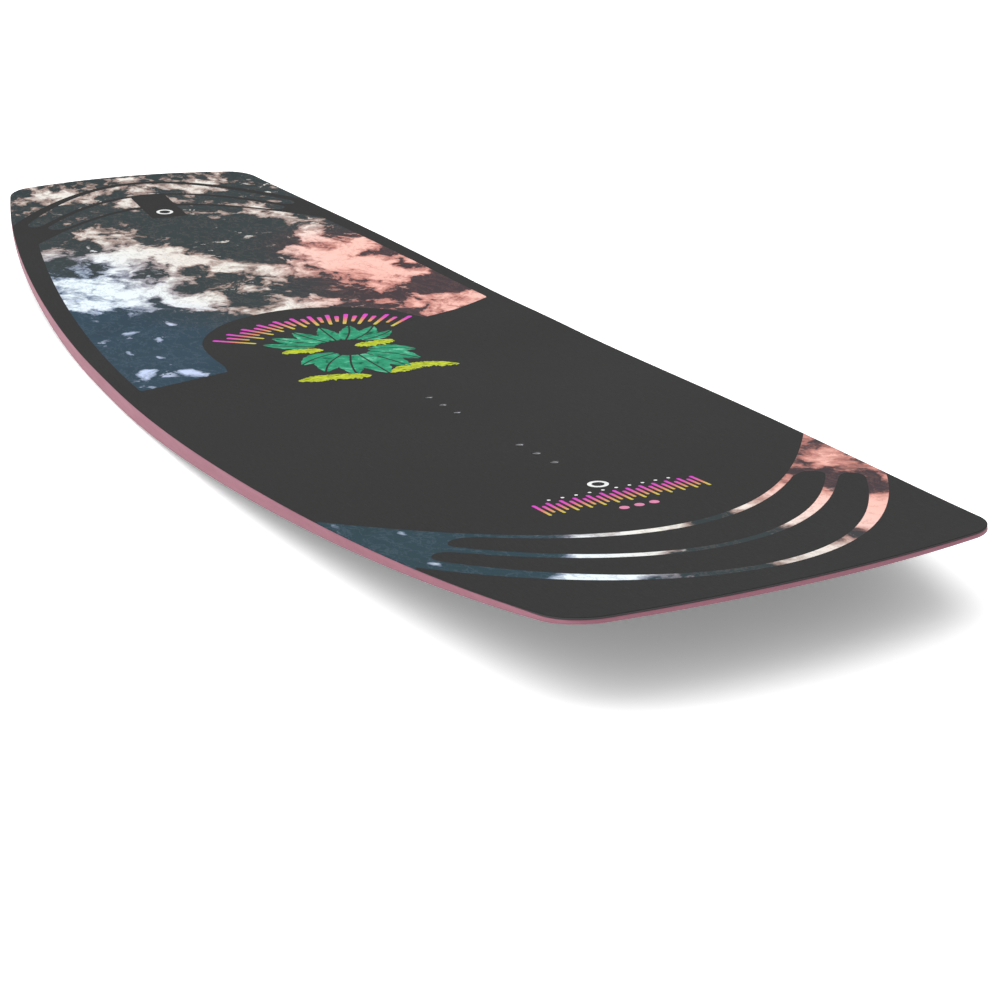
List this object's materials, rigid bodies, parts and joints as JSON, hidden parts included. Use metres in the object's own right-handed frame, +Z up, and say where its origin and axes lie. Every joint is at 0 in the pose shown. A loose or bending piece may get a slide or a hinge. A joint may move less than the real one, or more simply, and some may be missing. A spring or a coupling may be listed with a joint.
{
  "type": "wakeboard",
  "caption": "Bare wakeboard with a rockered twin-tip outline, printed deck, wood core, cast edge sidewall and threaded binding inserts on the centre line.",
  "frame": {"origin": "middle of the board on the flat middle of the base", "axes": "+X along the board to one tip, +Y across it, +Z up out of the deck"},
  "size_m": [1.3508, 0.4238, 0.0576],
  "materials": {
    "deck_print": "matte charcoal topsheet with a tie-dye cloud print at the ends",
    "base_plastic": "satin sintered base",
    "sidewall_urethane": "dusty pink cast urethane, satin",
    "core_wood": "sanded",
    "stringer_wood": "sanded",
    "glass_laminate": "resin-wetted glass cloth",
    "insert_steel": "turned stainless"
  },
  "bodies": {
    "root": {"base_sheet": "base_plastic", "bottom_laminate": "glass_laminate", "core_lath_left_5": "core_wood", "core_lath_left_4": "core_wood", "core_lath_left_3": "core_wood", "core_lath_left_2": "core_wood", "core_lath_left_1": "core_wood", "core_stringer": "stringer_wood", "core_lath_right_1": "core_wood", "core_lath_right_2": "core_wood", "core_lath_right_3": "core_wood", "core_lath_right_4": "core_wood", "core_lath_right_5": "core_wood", "top_laminate": "glass_laminate", "topsheet": "deck_print", "sidewall": "sidewall_urethane", "insert_a1": "insert_steel", "insert_a2": "insert_steel", "insert_a3": "insert_steel", "insert_a4": "insert_steel", "insert_a5": "insert_steel", "insert_a6": "insert_steel", "insert_b1": "insert_steel", "insert_b2": "insert_steel", "insert_b3": "insert_steel", "insert_b4": "insert_steel", "insert_b5": "insert_steel", "insert_b6": "insert_steel"}
  },
  "joints": []
}
